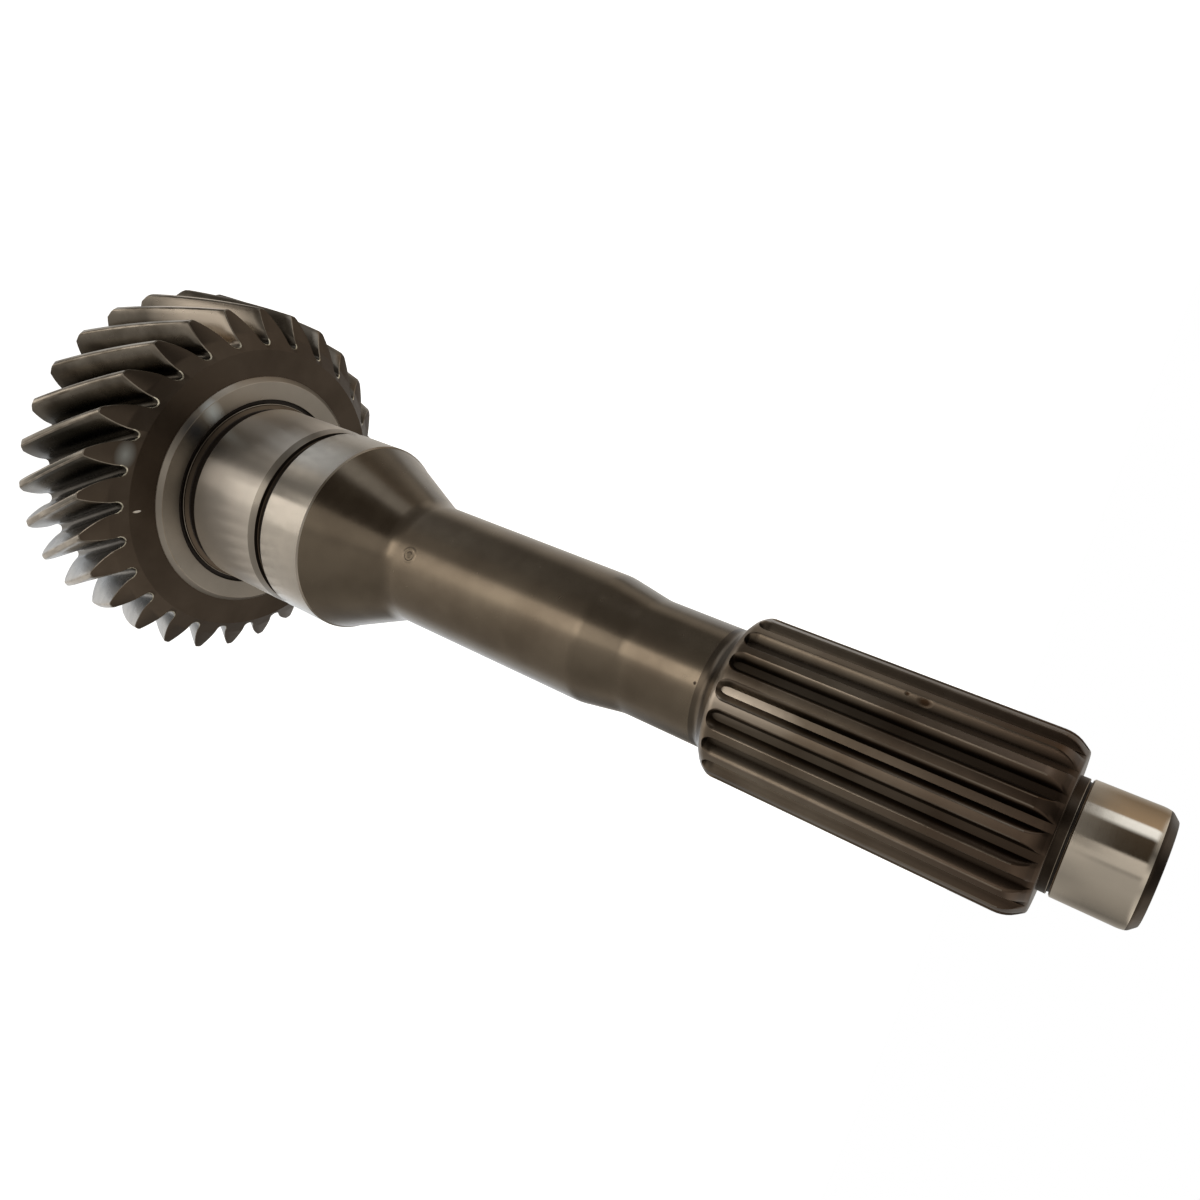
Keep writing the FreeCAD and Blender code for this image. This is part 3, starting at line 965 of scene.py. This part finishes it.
# Light by bearing from the camera's side, in degrees, from low bands to the ceiling. Each
# band is (bearing, brightness, tint), and each layer starts between two sines of elevation.
PLAIN = (1.0, 0.95, 0.88)
WARM = (1.0, 0.75, 0.51)
COOL = (0.96, 1.0, 1.04)
layers = [
    (None, [
        (-180, 0.60, PLAIN), (-109, 0.60, PLAIN), (-84, 1.02, COOL), (-62, 1.12, COOL),
        (-44, 0.92, PLAIN), (-28, 0.30, PLAIN), (-5, 0.28, PLAIN), (-2, 1.90, PLAIN),
        (29, 1.90, PLAIN), (33, 1.15, PLAIN), (66, 1.08, PLAIN), (94, 0.98, PLAIN),
        (110, 0.95, PLAIN), (125, 1.05, PLAIN), (150, 1.20, COOL), (180, 1.00, COOL)]),
    ((-0.69, -0.64), [
        (-180, 0.90, PLAIN), (-120, 0.70, PLAIN), (-97, 0.19, PLAIN), (-67, 0.20, PLAIN),
        (-48, 0.20, PLAIN), (-30, 0.36, PLAIN), (-18, 0.50, PLAIN), (-11, 1.20, PLAIN),
        (12, 1.20, PLAIN), (22, 0.85, PLAIN), (34, 0.70, PLAIN), (58, 0.50, PLAIN),
        (89, 0.46, PLAIN), (104, 0.45, PLAIN), (125, 0.90, COOL), (161, 1.10, COOL),
        (180, 1.00, COOL)]),
    ((-0.46, -0.40), [
        (-180, 0.80, PLAIN), (-128, 0.75, COOL), (-119, 0.28, PLAIN), (-108, 0.70, PLAIN),
        (-98, 0.60, PLAIN), (-88, 0.16, PLAIN), (-65, 0.16, PLAIN), (-25, 0.20, PLAIN),
        (-13, 0.50, PLAIN), (-9, 2.90, PLAIN), (11, 2.80, PLAIN), (17, 0.95, PLAIN),
        (30, 0.48, PLAIN), (76, 0.33, PLAIN), (95, 0.42, PLAIN), (108, 0.50, PLAIN),
        (120, 0.34, PLAIN), (137, 0.20, PLAIN), (150, 0.26, PLAIN), (180, 0.80, PLAIN)]),
    ((-0.26, -0.20), [
        (-180, 0.60, PLAIN), (-149, 0.50, PLAIN), (-121, 0.32, PLAIN), (-90, 0.18, PLAIN),
        (-63, 0.20, PLAIN), (-30, 0.18, PLAIN), (-14, 0.20, PLAIN), (0, 0.24, PLAIN),
        (10, 0.46, PLAIN), (25, 0.50, PLAIN), (47, 0.38, PLAIN), (72, 0.30, PLAIN),
        (110, 0.38, PLAIN), (149, 0.36, PLAIN), (180, 0.60, PLAIN)]),
    ((-0.035, -0.012), [
        (-180, 0.50, PLAIN), (-127, 0.24, WARM), (-100, 0.34, WARM), (-78, 0.40, WARM),
        (-74, 1.25, COOL), (-59, 1.15, COOL), (-51, 0.06, WARM), (-12, 0.04, WARM),
        (-8, 0.68, PLAIN), (14, 0.58, PLAIN), (18, 0.34, PLAIN), (21, 0.34, PLAIN),
        (25, 0.44, PLAIN), (54, 0.42, PLAIN), (85, 0.32, PLAIN), (127, 0.18, PLAIN),
        (180, 0.50, PLAIN)]),
    ((0.20, 0.36), [
        (-180, 0.45, PLAIN), (-126, 0.87, PLAIN), (-114, 0.85, PLAIN), (-84, 0.60, PLAIN),
        (-64, 0.45, PLAIN), (-30, 0.12, PLAIN), (-8, 0.30, PLAIN), (10, 0.70, PLAIN),
        (24, 0.60, PLAIN), (41, 0.43, PLAIN), (95, 0.80, PLAIN), (131, 1.10, PLAIN),
        (155, 0.55, PLAIN), (180, 0.45, PLAIN)]),
    ((0.90, 0.97), [
        (-180, 0.05, PLAIN), (180, 0.05, PLAIN)]),
]
world = bpy.data.worlds.new("studio")
bpy.context.scene.world = world
world.use_nodes = True
nodes = world.node_tree.nodes
links = world.node_tree.links
nodes.clear()
look = nodes.new("ShaderNodeTexCoord")
split = nodes.new("ShaderNodeSeparateXYZ")
links.new(look.outputs["Generated"], split.inputs[0])
facing = nodes.new("ShaderNodeMath")
facing.operation = "MULTIPLY"
facing.inputs[1].default_value = -1.0
links.new(split.outputs["Y"], facing.inputs[0])
bearing = nodes.new("ShaderNodeMath")
bearing.operation = "ARCTAN2"
links.new(split.outputs["X"], bearing.inputs[0])
links.new(facing.outputs[0], bearing.inputs[1])
turn_share = nodes.new("ShaderNodeMapRange")
turn_share.inputs["From Min"].default_value = -math.pi
turn_share.inputs["From Max"].default_value = math.pi
links.new(bearing.outputs[0], turn_share.inputs["Value"])
surround = None
for sines, bands in layers:
    stops = []
    for degrees, level, tint in bands:
        stops.append(((degrees + 180.0) / 360.0, tuple(level * part for part in tint)))
    layer = ramp(world, turn_share.outputs["Result"], stops)
    if sines is None:
        surround = layer
        continue
    rise = nodes.new("ShaderNodeMapRange")
    rise.interpolation_type = "SMOOTHSTEP"
    rise.inputs["From Min"].default_value = sines[0]
    rise.inputs["From Max"].default_value = sines[1]
    links.new(split.outputs["Z"], rise.inputs["Value"])
    surround = mixed(world, rise.outputs["Result"], surround, layer)
light = nodes.new("ShaderNodeBackground")
links.new(surround, light.inputs["Color"])
backdrop = nodes.new("ShaderNodeBackground")
backdrop.inputs["Color"].default_value = (1.0, 1.0, 1.0, 1.0)
path = nodes.new("ShaderNodeLightPath")
either = nodes.new("ShaderNodeMixShader")
links.new(path.outputs["Is Camera Ray"], either.inputs["Fac"])
links.new(light.outputs[0], either.inputs[1])
links.new(backdrop.outputs[0], either.inputs[2])
output = nodes.new("ShaderNodeOutputWorld")
links.new(either.outputs[0], output.inputs["Surface"])
bpy.context.scene.view_settings.view_transform = "Standard"
